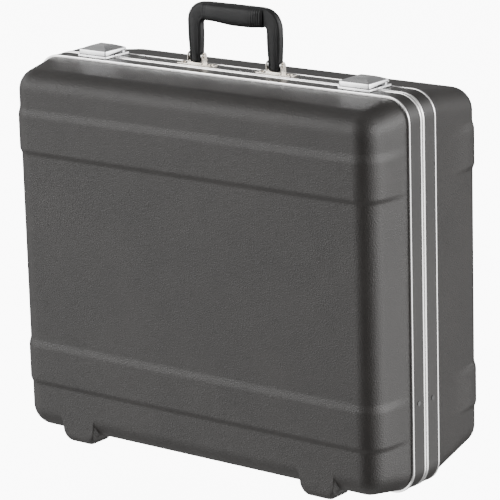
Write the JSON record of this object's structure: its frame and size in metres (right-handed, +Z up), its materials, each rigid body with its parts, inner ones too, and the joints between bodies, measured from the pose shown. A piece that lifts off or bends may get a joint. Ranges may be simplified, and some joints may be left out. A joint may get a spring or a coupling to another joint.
{
  "type": "hard-shell transport case",
  "caption": "Upright hard-shell case: two moulded shells in a metal valance, piano hinge, lid stays, lever latches and a swinging carry handle.",
  "frame": {"origin": "on the floor under the middle of the standing case, under the middle of its box", "axes": "+X along the width, to the right seen from the lid; +Y from the lid to the base; +Z up to the handle"},
  "size_m": [0.553, 0.237, 0.5495],
  "materials": {
    "moulded_shell": "fine leather-like moulded grain, satin",
    "frame_aluminium": "bright anodised",
    "inlay_strip": "smooth satin",
    "plated_latch": "satin chrome",
    "nickel_bracket": "warm nickel",
    "handle_leather": "black, stitched",
    "hinge_steel": "brushed",
    "stay_steel": "zinc plated",
    "rivet_aluminium": "satin"
  },
  "bodies": {
    "base": {"base_shell": "moulded_shell", "base_valance": "frame_aluminium", "base_inlay": "inlay_strip", "base_splice_plate": "frame_aluminium", "base_splice_rivets": "rivet_aluminium", "base_shell_rivets": "rivet_aluminium", "base_hinge_rivets": "rivet_aluminium", "base_latch_rivets": "rivet_aluminium", "hinge_base_leaf": "hinge_steel", "hinge_pin": "hinge_steel", "handle_bracket_rivets": "nickel_bracket", "handle_bracket_left": "nickel_bracket", "handle_pin_left": "nickel_bracket", "latch_left_plate": "plated_latch", "latch_left_pin": "stay_steel", "latch_left_spring": "stay_steel", "stay_left_base_rivet": "rivet_aluminium", "handle_bracket_right": "nickel_bracket", "handle_pin_right": "nickel_bracket", "latch_right_plate": "plated_latch", "latch_right_pin": "stay_steel", "latch_right_spring": "stay_steel", "stay_right_base_rivet": "rivet_aluminium"},
    "lid": {"lid_shell": "moulded_shell", "lid_valance": "frame_aluminium", "lid_inlay": "inlay_strip", "lid_splice_plate": "frame_aluminium", "lid_splice_rivets": "rivet_aluminium", "lid_shell_rivets": "rivet_aluminium", "lid_hinge_rivets": "rivet_aluminium", "lid_latch_rivets": "rivet_aluminium", "hinge_lid_leaf": "hinge_steel", "latch_left_keeper": "plated_latch", "stay_left_lid_rivet": "rivet_aluminium", "latch_right_keeper": "plated_latch", "stay_right_lid_rivet": "rivet_aluminium"},
    "handle": {"handle_strap": "stay_steel", "handle_leather": "handle_leather", "handle_grip": "handle_leather"},
    "latch_left": {"latch_left_cover": "plated_latch"},
    "stay_left_base": {"stay_left_base_arm": "stay_steel", "stay_left_base_elbow": "rivet_aluminium"},
    "stay_left_lid": {"stay_left_lid_arm": "stay_steel", "stay_left_lid_elbow": "rivet_aluminium"},
    "latch_right": {"latch_right_cover": "plated_latch"},
    "stay_right_base": {"stay_right_base_arm": "stay_steel", "stay_right_base_elbow": "rivet_aluminium"},
    "stay_right_lid": {"stay_right_lid_arm": "stay_steel", "stay_right_lid_elbow": "rivet_aluminium"}
  },
  "joints": [
    {"name": "lid_hinge", "type": "hinge", "parent": "base", "child": "lid", "pos_m": [0, -0.026, 0.0044], "axis": [1, 0, 0], "range_deg": [0, 90]},
    {"name": "handle_swing", "type": "hinge", "parent": "base", "child": "handle", "pos_m": [0, -0.0119, 0.4825], "axis": [1, 0, 0], "range_deg": [-80, 80]},
    {"name": "latch_left_lift", "type": "hinge", "parent": "base", "child": "latch_left", "pos_m": [-0.1955, -0.008, 0.4784], "axis": [-1, 0, 0], "range_deg": [0, 80]},
    {"name": "stay_left_base_swing", "type": "hinge", "parent": "base", "child": "stay_left_base", "pos_m": [-0.26685, -0.0119, 0.112], "axis": [1, 0, 0], "range_deg": [0, 110]},
    {"name": "stay_left_lid_swing", "type": "hinge", "parent": "lid", "child": "stay_left_lid", "pos_m": [-0.26465, -0.0401, 0.112], "axis": [1, 0, 0], "range_deg": [-110, 0]},
    {"name": "latch_right_lift", "type": "hinge", "parent": "base", "child": "latch_right", "pos_m": [0.1955, -0.008, 0.4784], "axis": [-1, 0, 0], "range_deg": [0, 80]},
    {"name": "stay_right_base_swing", "type": "hinge", "parent": "base", "child": "stay_right_base", "pos_m": [0.26685, -0.0119, 0.112], "axis": [1, 0, 0], "range_deg": [0, 110]},
    {"name": "stay_right_lid_swing", "type": "hinge", "parent": "lid", "child": "stay_right_lid", "pos_m": [0.26465, -0.0401, 0.112], "axis": [1, 0, 0], "range_deg": [-110, 0]}
  ],
  "couplings": [
    {"joint": "stay_left_base_swing", "follows": "lid_hinge", "ratio": 1.2107},
    {"joint": "stay_left_lid_swing", "follows": "lid_hinge", "ratio": -1.2107},
    {"joint": "stay_right_base_swing", "follows": "lid_hinge", "ratio": 1.2107},
    {"joint": "stay_right_lid_swing", "follows": "lid_hinge", "ratio": -1.2107}
  ]
}
